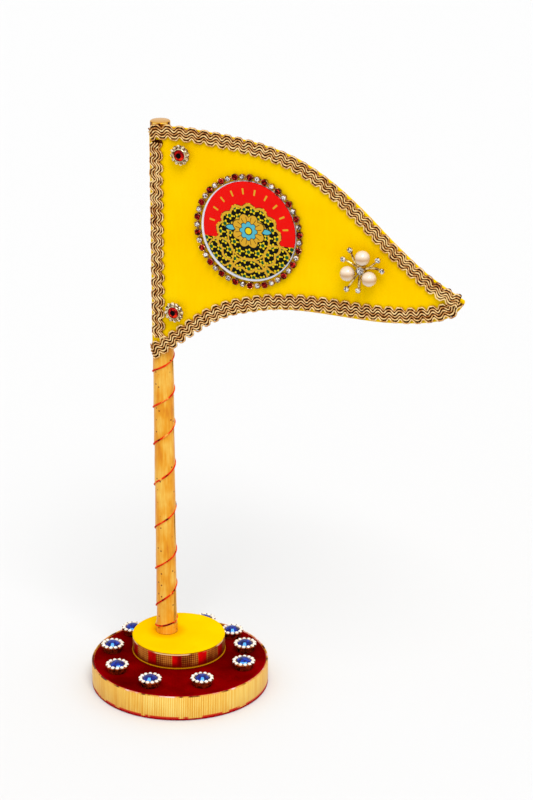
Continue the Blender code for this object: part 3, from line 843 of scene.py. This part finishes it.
def braidShadeFinish():
    shadeStrip = Finish("braidPaintedShade", Roughness=0.9, Specular_IOR_Level=0.0)
    mottle = shadeStrip.grain(shadeStrip.place(), 500, 2)
    # painted shade: dark on the face seen between the cords, lighter on the face against the cloth
    inside = shadeStrip.ramp(mottle, (0.4, (34, 6, 0)), (0.65, (120, 56, 6)))
    behind = shadeStrip.ramp(mottle, (0.4, (150, 92, 34)), (0.65, (206, 150, 80)))
    shadeStrip.colour(shadeStrip.mix(shadeStrip.attribute("behind"), inside, behind))
    return shadeStrip


def scallopsAt(distance, stops):
    # how many scallops lie before a place on the route
    pairs = list(zip(stops, stops[1:]))
    for (start, low), (end, high) in pairs:
        if distance <= end:
            break
    return low + (high - low) * (distance - start) / (end - start)


def braidPlace(find, along, aside):
    # a place on the flag beside a braid's route
    place, heading = find(along)
    return place + Vector((-heading.y, heading.x)) * aside


def shiftAt(shifts, share):
    return shifts[0] + (shifts[1] - shifts[0]) * share


def overlapRise(short):
    # the top braid rises over the other one near its end
    rise, before, ramp = braid["overlap"]
    return rise * min(1, max(0, (before - short) / ramp))


def scallopWave(passed, lean):
    turn = math.tau * passed
    return braid["swing"] * (math.cos(turn) - lean * math.cos(2 * turn))


def addBraid(name, cord):
    node, halfWidth, shifts, uneven, begin, stops, route = braidRoutes[name]
    find, length = routeFinder(route)
    radius = braid["cordRadius"]
    middle = (braid["cords"] - 1) / 2
    pitch = (halfWidth - 0.8 * braid["swing"] - radius) / middle
    points = round(length / 6 * braid["pointsEach"])
    lines = []
    for number in range(braid["cords"]):
        side = (number - middle) / middle
        line = []
        for step in range(points + 1):
            along = begin + (length - begin) * step / points
            seed = Vector((along * 0.3, number * 1.7, len(route)))
            aside = shiftAt(shifts, along / length)
            aside += (number - middle) * pitch + uneven * noise.noise(seed)
            passed = scallopsAt(along, stops) + uneven * 0.2 * noise.noise(seed * 0.7)
            aside += scallopWave(passed, braid["lean"] * side)
            out = braid["lift"] + uneven * 0.4 * noise.noise(seed * 1.9)
            out += braid["dip"] * math.cos(math.tau * passed + math.pi * number)
            if name == "braidTop":
                out += overlapRise(length - along)
            spot = braidPlace(find, along, aside)
            line.append((*onFace(spot.x, spot.y, out), 1.12 if step % 2 else 0.9))
        lines.append(line)
    piece = addTubes(name, lines, radius, cord, [node])
    # painted light and shade: each point's height out of the cloth, which the cord material shows
    # light on the crests and dark between the cords
    depth = piece.data.attributes.new("depth", "FLOAT", "POINT")
    end = find(length)[0].x
    for item, vert in zip(depth.data, piece.data.vertices):
        out = (outOf(vert.co) - braid["lift"]) / radius
        if name == "braidTop":
            across = vert.co.x / mm - pole["axis"][0]
            out -= overlapRise(end - across + 0.07 * braid["overlap"][1]) / radius
        item.value = max(out, -0.8 * out - 0.4)     # the back is lighter again
    return piece


def addBraidShadeStrips():
    # dark strips under the braids: painted shade, seen in the holes between the cords
    bm = bmesh.new()
    for *_, shifts, _, _, stops, route in braidRoutes.values():
        find, length = routeFinder(route)
        strip = bmesh.new()
        count = round(length / 0.7)
        bmesh.ops.create_grid(strip, x_segments=count, y_segments=2, size=0.5)
        grown = bmesh.ops.extrude_face_region(strip, geom=strip.faces[:])
        low = {item for item in grown["geom"] if isinstance(item, bmesh.types.BMVert)}
        for vert in strip.verts:
            along = (vert.co.x + 0.5) * length
            aside = vert.co.y * 2 * braid["shadeStripHalfWidth"]
            aside += shiftAt(shifts, along / length) + scallopWave(scallopsAt(along, stops), 0)
            spot = braidPlace(find, along, aside)
            vert.co = onFace(spot.x, spot.y, 0.03 if vert in low else braid["shadeStripThickness"])
        setDown(shapeOf(strip), [Matrix()], bm)
    piece = addPiece("braidShadeStrips", bm, braidShadeFinish())
    behind = piece.data.attributes.new("behind", "FLOAT", "POINT")
    for item, vert in zip(behind.data, piece.data.vertices):
        item.value = float(outOf(vert.co) < braid["shadeStripThickness"] / 2)
    return piece


# Medallion

medallion = {
    "centre": (51.9, 256.6),
    "radius": 26.0,
    "picture": 25.2,
    "pictureShift": (0.65, 0.65),
    "chain": 28.1,
    "stones": 43,
    "firstStone": 88.0,         # degrees, a red one
}


def pictureFinish():
    # a made-up pattern in the colours of the real disc: a rosette under a domed arch
    picture = Finish("roundPicture", Roughness=0.25, Specular_IOR_Level=0.08)
    x, _, z = picture.parts(picture.place())
    cx = medallion["centre"][0] + pole["axis"][0] + medallion["pictureShift"][0]
    cz = medallion["centre"][1] + medallion["pictureShift"][1]
    dx = (x - cx * mm) / mm
    dz = (z - cz * mm) / mm
    r = picture.length(dx, dz)
    angle = picture.turnOf(dz, dx)
    black, gold, yellow = (6, 6, 2), (216, 164, 40), (236, 204, 20)
    colour = picture.mix(picture.grain(picture.place(), 90, 2), (224, 0, 0), (240, 16, 2))

    def draw(mask, paint):
        nonlocal colour
        colour = picture.mix(mask, colour, paint)

    def away(centreX, centreZ):
        fromX = dx - centreX
        fromZ = dz - centreZ
        return picture.length(fromX, fromZ)

    def ring(distance, radius, width):
        return picture.fade(abs(distance - radius), width, width - 0.25)

    # short rays and dots in the red field
    rays = abs(fraction(angle * (20 / math.tau) + 20) - 0.5)
    draw(picture.fade(rays, 0.09, 0.05) * picture.fade(r, 18.6, 19.0)
         * picture.fade(r, 22.0, 21.6) * (dz > 2), gold)
    # the dark garden and the scalloped arch over it
    arch = away(0, -4)
    archTurn = picture.turnOf(dz + 4, dx)
    edge = 17.0 + abs(picture.maths("SINE", archTurn * 7)) * 1.6
    garden = picture.fade(dz + 5.5, 0.2, -0.2)
    inside = picture.fade(arch, edge, edge - 0.3)
    dark = picture.clamp(garden + inside)
    draw(dark, black)
    cellX = dx / 5.2
    row = dz / 4.4 + 40
    odd = picture.maths("FLOORED_MODULO", picture.maths("FLOOR", row), 2) * 0.5
    flowerX = (fraction(cellX + odd + 40) - 0.5) * 5.2
    flowerZ = (fraction(row) - 0.5) * 4.4
    spot = picture.length(flowerX, flowerZ)
    spotTurn = picture.turnOf(flowerZ, flowerX)
    petals = 1.75 + picture.maths("COSINE", spotTurn * 5) * 0.5
    draw(dark * picture.fade(spot, petals, petals - 0.3), yellow)
    draw(dark * picture.fade(spot, 1.1, 0.9), (14, 78, 40))
    dotX = fraction(cellX + odd + 40.5) * 5.2 - 2.6
    dotSpot = picture.length(dotX, flowerZ)
    draw(dark * picture.fade(dotSpot, 0.5, 0.3), yellow)
    draw(ring(arch, edge - 1.1, 0.75), gold)
    draw(ring(arch, 11.2, 0.55) * inside, gold)
    draw(ring(away(0, -25), 10.4, 0.65), gold)
    draw(ring(away(-15.5, -13), 7.2, 0.55) * garden, gold)
    draw(ring(away(15.5, -13), 7.2, 0.55) * garden, gold)
    # the rosette: gold petals, blue-green heart and a blue-green leaf on either side
    for side in (-1, 1):
        leaf = picture.maths("MAXIMUM", away(side * 9.6, 3.2), away(side * 9.6, -1.8))
        draw(picture.fade(leaf, 4.4, 4.1), black)
        draw(picture.fade(leaf, 3.9, 3.6), (84, 178, 196))
    petals = 7.6 + abs(picture.maths("SINE", angle * 4)) * 1.9
    draw(picture.fade(r, petals, petals - 0.3), black)
    draw(picture.fade(r, petals - 0.5, petals - 0.8), gold)
    veins = abs(fraction(angle * (16 / math.tau) + 16) - 0.5)
    draw(picture.fade(veins, 0.09, 0.04) * picture.fade(r, 4.6, 5.0)
         * picture.fade(r, petals - 1.5, petals - 1.9), (84, 30, 0))
    inner = 4.1 + abs(picture.maths("COSINE", angle * 4)) * 1.2
    draw(picture.fade(r, inner, inner - 0.3), black)
    draw(picture.fade(r, inner - 0.45, inner - 0.7), (84, 178, 196))
    draw(picture.fade(r, 2.3, 2.0), black)
    draw(picture.fade(r, 1.8, 1.5), yellow)
    picture.colour(colour)
    return picture


def addMedallion():
    white = Finish("whiteCard", Roughness=0.35, Specular_IOR_Level=0.3)
    white.colour(white.ramp(white.grain(white.place(), 60, 2), (0.3, (216, 220, 236)),
                            (0.7, (240, 242, 250))))
    r = medallion["radius"]
    bm = turned([(0, 0), (r, 0), (r, 1.0), (r - 0.15, 1.3), (r - 0.6, 1.4), (0, 1.4)], 96)
    across, height = medallion["centre"]
    bmesh.ops.transform(bm, matrix=faceMatrix(across, height, 0.05), verts=bm.verts)
    addPiece("medallionDisc", bm, white, ["medallion_disc"])
    r = medallion["picture"]
    bm = turned([(0, 0), (r, 0), (r, 0.25), (r - 0.2, 0.5), (r - 0.8, 0.7), (r * 0.8, 0.92),
                 (r * 0.5, 1.12), (r * 0.25, 1.2), (0, 1.22)], 96)
    shiftX, shiftZ = medallion["pictureShift"]
    matrix = faceMatrix(across + shiftX, height + shiftZ, 1.45)
    bmesh.ops.transform(bm, matrix=matrix, verts=bm.verts)
    addPiece("medallionPicture", bm, pictureFinish(), ["medallion_print"])
    addChain()


def gem(sides, radius, low, girdle, crown, table):
    # a cut stone in mm: flat back, girdle, sloping crown and table
    return shapeOf(turned([(0, low), (radius * 0.8, low), (radius, girdle),
                           (radius * (1 + table) / 2, girdle + crown * 0.6),
                           (radius * table, girdle + crown), (0, girdle + crown)], sides))


def addChain():
    across, height = medallion["centre"]
    count = medallion["stones"]
    redPlaces, clearPlaces = [], []
    for number in range(count):
        angle = math.radians(medallion["firstStone"] + 360 * number / count)
        spot = (across + medallion["chain"] * math.cos(angle),
                height + medallion["chain"] * math.sin(angle))
        matrix = faceMatrix(*spot, 0.1, math.degrees(angle))
        # the chain closes with two red stones side by side at the lower right
        isRed = (number % 2 == 0) if number < 26 else (number % 2 == 1)
        (redPlaces if isRed else clearPlaces).append(matrix)
    metal = settingFinish("chainGold", (60, 22, 4), (214, 160, 100))
    bm = bmesh.new()
    for places, radius, prongs in ((redPlaces, 1.8, 5), (clearPlaces, 1.5, 4)):
        cup = shapeOf(turned([(0, 0), (radius * 0.75, 0), (radius * 0.8, 0.5), (radius, 1.0),
                              (radius, 1.9), (radius * 0.82, 2.0), (radius * 0.8, 1.3),
                              (0, 1.3)], 12))
        setDown(cup, places, bm)
        claw = bmesh.new()
        bmesh.ops.create_icosphere(claw, subdivisions=1, radius=0.3 * mm)
        claw = shapeOf(claw)
        for matrix in places:
            around = [matrix @ Matrix.Rotation(math.tau * (n + 0.5) / prongs, 4, "Z")
                      @ Matrix.Translation(Vector((radius * 0.92, 0, 2.15)) * mm)
                      @ Matrix.Diagonal((1.0, 1.0, 1.3, 1)) for n in range(prongs)]
            setDown(claw, around, bm)
    link = bmesh.new()
    bmesh.ops.create_cone(link, cap_ends=True, segments=6, radius1=0.45 * mm, radius2=0.45 * mm,
                          depth=2.2 * mm)
    bmesh.ops.rotate(link, verts=link.verts, matrix=Matrix.Rotation(math.radians(90), 3, "X"))
    link = shapeOf(link)
    joints = []
    for number in range(count):
        angle = math.radians(medallion["firstStone"] + 360 * (number + 0.5) / count)
        spot = (across + medallion["chain"] * math.cos(angle),
                height + medallion["chain"] * math.sin(angle))
        joints.append(faceMatrix(*spot, 1.0, math.degrees(angle)))
    setDown(link, joints, bm)
    addPiece("chainCups", bm, metal, ["medallion_chain"], smooth=30)
    addStones("chainRedStones", gem(8, 1.76, 1.35, 1.9, 0.8, 0.5), redPlaces,
              ("darkRedStone", "dark", 0.03))
    addStones("chainClearStones", gem(8, 1.36, 1.35, 1.9, 0.7, 0.5), clearPlaces,
              ("chainClear", "clear"))


# Jewels

def settingFinish(name="paleGold", dark=(120, 76, 30), light=(246, 222, 170)):
    metal = Finish(name, Metallic=0.9, Roughness=0.22)
    patches = metal.grain(metal.place(), 500, 2)
    metal.colour(metal.ramp(patches, (0.35, dark), (0.6, light)))
    return metal


def stoneFinish(name, kind, shine=0.25):
    # painted light: every facet has a tone of its own, bright or dark, as a cut stone throws light
    stone = Finish(name, Roughness=0.12, Specular_IOR_Level=shine)
    stops = {
        "dark": ((0.0, (14, 0, 0)), (0.5, (74, 0, 2)), (0.8, (142, 4, 6)),
                 (1.0, (216, 50, 40))),
        "red": ((0.0, (6, 0, 0)), (0.35, (96, 0, 2)), (0.7, (170, 4, 6)),
                (1.0, (250, 50, 14))),
        "blue": ((0.0, (0, 0, 20)), (0.4, (0, 14, 104)), (0.75, (6, 48, 172)),
                 (1.0, (90, 180, 250))),
        "clear": ((0.0, (14, 6, 4)), (0.3, (92, 70, 54)), (0.5, (208, 200, 196)),
                  (1.0, (252, 252, 254))),
        "mixed": ((0.0, (10, 6, 4)), (0.3, (150, 100, 40)), (0.55, (226, 196, 130)),
                  (1.0, (255, 255, 250))),
        "white": ((0.0, (206, 160, 100)), (0.3, (244, 226, 190)),
                  (0.6, (250, 244, 232)), (1.0, (252, 252, 252))),
    }[kind]
    stone.colour(stone.ramp(stone.attribute("tone"), *stops))
    return stone


def turnedPlaces(places, count, radius, height, turn=0.0):
    # places round a ring on each of the given ones
    return [matrix @ Matrix.Rotation(math.tau * (number + turn) / count, 4, "Z")
            @ Matrix.Translation(Vector((radius, 0, height)) * mm)
            for matrix in places for number in range(count)]


def addLobes(bm, count, beyond, depth):
    # scallops a setting's flange, one lobe under each crystal
    for vert in bm.verts:
        if vert.co.xy.length > beyond * mm:
            angle = math.atan2(vert.co.y, vert.co.x)
            lobe = 1 - depth + depth * math.cos(angle * count)
            vert.co.x *= lobe
            vert.co.y *= lobe


def addStones(name, shape, places, stone, nodes=(), tones=(0, 1)):
    return addPiece(name, setDown(shape, places), stoneFinish(*stone), nodes,
                    smooth=5, tones=tones)


baseButtons = {
    # degrees round the base and mm from its centre
    "places": ((158.5, 37.8), (194.4, 36.6), (233.3, 36.7), (271.8, 36.5), (316.0, 35.2),
               (4.1, 36.3), (38.0, 35.3), (67.2, 36.6), (97.7, 39.9), (128.1, 40.2)),
    "seat": 14.05,
    "crystals": 13,
    "ring": 5.05,               # mm from the middle to a crystal
    "crystal": 1.08,
    "stone": 3.95,
}


def addBaseButtons():
    places = []
    for number, (angle, distance) in enumerate(baseButtons["places"]):
        a = math.radians(angle)
        places.append(Matrix.Translation(Vector((distance * math.cos(a), distance * math.sin(a),
                                                 baseButtons["seat"])) * mm)
                      @ Matrix.Rotation(math.radians(number * 11), 4, "Z"))
    count = baseButtons["crystals"]
    ring, crystal, stone = baseButtons["ring"], baseButtons["crystal"], baseButtons["stone"]
    # painted reflection: the settings' gold is tinted copper-red, as it mirrors the red velvet round
    # it
    reflectingGold = settingFinish("redReflectingGold", (16, 0, 0), (206, 92, 30))
    bm = turned([(0, 0), (4.6, 0), (4.9, 0.3), (5.0, 1.2), (5.2, 1.4), (5.3, 2.6), (6.1, 3.1),
                 (6.25, 3.5), (6.1, 3.8), (4.2, 3.8), (4.1, 4.0), (3.9, 3.8), (0, 3.6)],
                count * 4)
    addLobes(bm, count, 5.7, 0.035)
    setting = shapeOf(bm)
    bm = setDown(setting, places)
    addPiece("baseButtonSettings", bm, reflectingGold,
             [f"base_button_{n}" for n in range(1, 11)], smooth=35)
    addStones("baseCrystals", gem(8, crystal, 3.6, 4.1, 0.5, 0.6),
              turnedPlaces(places, count, ring, 0), ("whiteCrystal", "white"),
              tones=(0.2, 1))
    dome = turned([(0, 3.6), (stone, 3.6), (stone, 4.0), (stone * 0.86, 4.7),
                   (stone * 0.6, 5.4), (stone * 0.32, 5.75), (0, 5.85)], 12)
    piece = addStones("baseBlueStones", shapeOf(dome), places, ("blueStone", "blue"),
                      [f"base_stone_{n}" for n in range(1, 11)], (0.15, 0.75))
    # painted highlight on the blue stones' facets that face front and to the right
    toneFacets(piece, Vector((0.42, -0.9, 0.25)), 1.0, 0.965)
    beads = bmesh.new()
    bmesh.ops.create_icosphere(beads, subdivisions=1, radius=0.32 * mm)
    bm = setDown(shapeOf(beads), turnedPlaces(places, count, ring + 0.62, 4.2, 0.5))
    dots = settingFinish("darkProngs", (20, 4, 0), (190, 120, 60))
    addPiece("baseProngs", bm, dots)


def toneFacets(piece, towards, value, limit):
    # painted highlight: facets that face one way are set bright, as if they catch the light
    towards.normalize()
    tone = piece.data.attributes["tone"]
    for polygon, item in zip(piece.data.polygons, tone.data):
        flat = Vector((polygon.normal.x, polygon.normal.y, 0.35 * polygon.normal.z)).normalized()
        if flat.dot(towards) > limit:
            item.value = value


flagButtons = {
    "places": ((14.9, 291.4), (10.6, 208.0)),
    "crystals": 12,
    "ring": 4.35,
    "crystal": 1.0,
    "stone": 2.85,
}


def addFlagButtons():
    places = [faceMatrix(*place, 0.1, 7) for place in flagButtons["places"]]
    count = flagButtons["crystals"]
    ring, crystal, stone = flagButtons["ring"], flagButtons["crystal"], flagButtons["stone"]
    bm = turned([(0, 0), (3.6, 0), (3.8, 0.6), (4.0, 1.3), (5.0, 1.9), (5.3, 2.2), (5.2, 2.4),
                 (3.7, 2.4), (3.6, 3.4), (3.4, 3.6), (stone + 0.15, 3.5), (stone + 0.05, 2.6),
                 (0, 2.4)], count * 4)
    addLobes(bm, count, 4.7, 0.045)
    bm = setDown(shapeOf(bm), places)
    gold = settingFinish("buttonGold", (90, 50, 16), (250, 226, 178))
    addPiece("flagButtonSettings", bm, gold,
             ["flag_button_1", "flag_button_2"], smooth=35)
    addStones("flagCrystals", gem(6, crystal, 2.3, 2.9, 0.6, 0.5),
              turnedPlaces(places, count, ring, 0), ("smallCrystal", "mixed"))
    dome = turned([(0, 2.5), (stone, 2.5), (stone, 3.3), (stone * 0.82, 3.8),
                   (stone * 0.52, 4.1), (0, 4.1)], 12)
    piece = addStones("flagRedStones", shapeOf(dome), places, ("redStone", "red", 0.04),
                      ["flag_stone_1", "flag_stone_2"], (0.35, 0.8))
    tone = piece.data.attributes["tone"]
    for polygon, item in zip(piece.data.polygons, tone.data):
        # painted reflections: the table and the rim are set black, and the lower side facets bright
        if polygon.normal.y < -0.97 or polygon.normal.y > -0.4:
            item.value = 0.0            # the table and the rim look black
        elif polygon.normal.z < -0.15 and abs(polygon.normal.x) > 0.12:
            item.value = 1.0


# Brooch

brooch = {
    "hub": (113.6, 245.8),
    "pearls": ((115.6, 253.4), (107.7, 244.3), (119.3, 243.1)),
    "pearlRadius": 3.7,
    "pearlLift": 6.2,
    "stones": ((123.0, 252.7), (125.3, 247.5), (112.8, 235.8),
               (106.6, 235.6), (104.6, 250.7), (108.2, 256.0)),
    "stoneRadius": 1.35,
    "stoneLift": 3.4,
    # a way point for each wire, as (across, height)
    "bends": ((118.0, 248.0), (119.6, 248.2), (113.2, 241.0), (109.6, 240.2), (108.9, 248.9),
              (110.0, 251.0)),
    "wires": (0.42, 0.6, 0.62, 0.42, 0.42, 0.5),
}


def addBrooch():
    metal = settingFinish("broochGold", (110, 56, 14), (255, 228, 160))
    hub = brooch["hub"]
    nodes = ["brooch_frame", "brooch_post"]
    lines = []
    for stone, bend, radius in zip(brooch["stones"], brooch["bends"], brooch["wires"]):
        outs = (2.6, 3.6, 3.6)
        stops = [(*place, out) for place, out in zip((hub, bend, stone), outs)]
        route = smoothLine(stops, 8)
        line = []
        for number, place in enumerate(route):
            swell = 1 + 0.25 * math.sin(math.pi * number / (len(route) - 1))
            line.append((*onFace(place.x, place.y, place.z), radius * swell))
        lines.append(line)
    addTubes("broochWires", lines, 1.0, metal, nodes, sides=8)

    bm = bmesh.new()
    hubPlace = faceMatrix(*hub, 0.1)
    post = shapeOf(turned([(0, 0), (2.0, 0), (1.6, 1.0), (1.5, 2.6), (2.3, 3.4), (2.3, 3.9),
                           (1.9, 4.0), (1.8, 3.6), (0, 3.5)], 20))
    setDown(post, [hubPlace], bm)
    cup = shapeOf(turned([(0, 1.8), (0.8, 1.8), (1.2, 2.4), (2.3, 3.2), (2.9, 4.1), (2.8, 4.3),
                          (2.2, 3.5), (0, 2.6)], 20))
    pearlPlaces = [faceMatrix(*place, 0.0, 15 + 40 * n)
                   for n, place in enumerate(brooch["pearls"])]
    setDown(cup, pearlPlaces, bm)
    seat = shapeOf(turned([(0, 0), (0.7, 0), (1.0, 0.3), (1.25, 0.9), (1.1, 1.0), (1.0, 0.8),
                           (0, 0.8)], 10))
    stonePlaces = [faceMatrix(*place, brooch["stoneLift"], 20 + 33 * n)
                   for n, place in enumerate(brooch["stones"])]
    setDown(seat, stonePlaces, bm)
    prong = turned([(0, -0.9), (0.3, -0.9), (0.36, 0.2), (0.24, 0.55), (0, 0.65)], 6)
    prong = shapeOf(prong)
    setDown(prong, turnedPlaces(stonePlaces, 5, 1.25, 1.2), bm)
    setDown(prong, turnedPlaces([hubPlace], 6, 2.15, 4.3), bm)
    addPiece("broochCups", bm, metal, smooth=40)

    addStones("broochStones", gem(8, brooch["stoneRadius"], 0.7, 1.3, 0.6, 0.5), stonePlaces,
              ("broochClear", "clear"),
              [f"brooch_stone_{n}" for n in range(1, 7)], (0.1, 1))
    addStones("broochHubStone", gem(12, 2.0, 3.6, 4.2, 0.9, 0.5), [hubPlace],
              ("hubClear", "clear"), ["brooch_stone_0"], (0.1, 1))

    pearl = Finish("pearl", Roughness=0.25, Coat_Weight=0.7, Coat_Roughness=0.05)
    cloud = pearl.grain(pearl.place(), 260, 2)
    shade = pearl.attribute("pearlReflection") + (cloud - 0.5) * 0.35
    pearl.colour(pearl.ramp(shade, (0.0, (196, 154, 110)), (0.4, (224, 194, 160)),
                            (0.8, (240, 220, 198))))
    for number, place in enumerate(brooch["pearls"], 1):
        bm = bmesh.new()
        bmesh.ops.create_uvsphere(bm, u_segments=32, v_segments=20,
                                  radius=brooch["pearlRadius"] * mm)
        matrix = faceMatrix(*place, brooch["pearlLift"], 40 * number)
        pearlReflection = bm.verts.layers.float.new("pearlReflection")
        for vert in bm.verts:
            # painted reflection: darker across the middle, as pearls mirror what stands before them
            height = (matrix.to_3x3() @ vert.co).z / (brooch["pearlRadius"] * mm)
            vert[pearlReflection] = min(1, abs(height + 0.05) * 1.5)
            vert.co *= 1 + 0.012 * noise.noise(vert.co * 350 + Vector((number * 5, 0, 0)))
        bmesh.ops.transform(bm, matrix=matrix, verts=bm.verts)
        addPiece(f"broochPearl{number}", bm, pearl, [f"pearl_{number}"])


# Board and dowel, seen only from below

def finishWood():
    wood = Finish("plainBoard", Roughness=0.75)
    place = wood.place()
    rings = wood.grain(wood.stretched(place, (1, 0.12, 1)), 160, 4)
    wood.colour(wood.ramp(rings, (0.3, (176, 130, 82)), (0.7, (214, 176, 124))))
    wood.bump(rings, 0.2 * mm, 0.3)
    for name in ("base_disc", "tier_disc", "pole"):
        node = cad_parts[name]
        for slot in node.material_slots:
            slot.material = wood.material
        if not node.material_slots:
            node.data.materials.append(wood.material)


addStudio()
print("studio done")
addBase()
addStep()
print("base and step done")
addPole()
print("pole done")
cloth = addFlag()
cord = braidFinish()
braids = [addBraid(name, cord) for name in braidRoutes] + [addBraidShadeStrips()]
print("flag and braids done")
addMedallion()
print("medallion done")
addBaseButtons()
addFlagButtons()
print("buttons done")
addBrooch()
finishWood()
print("brooch and wood done")
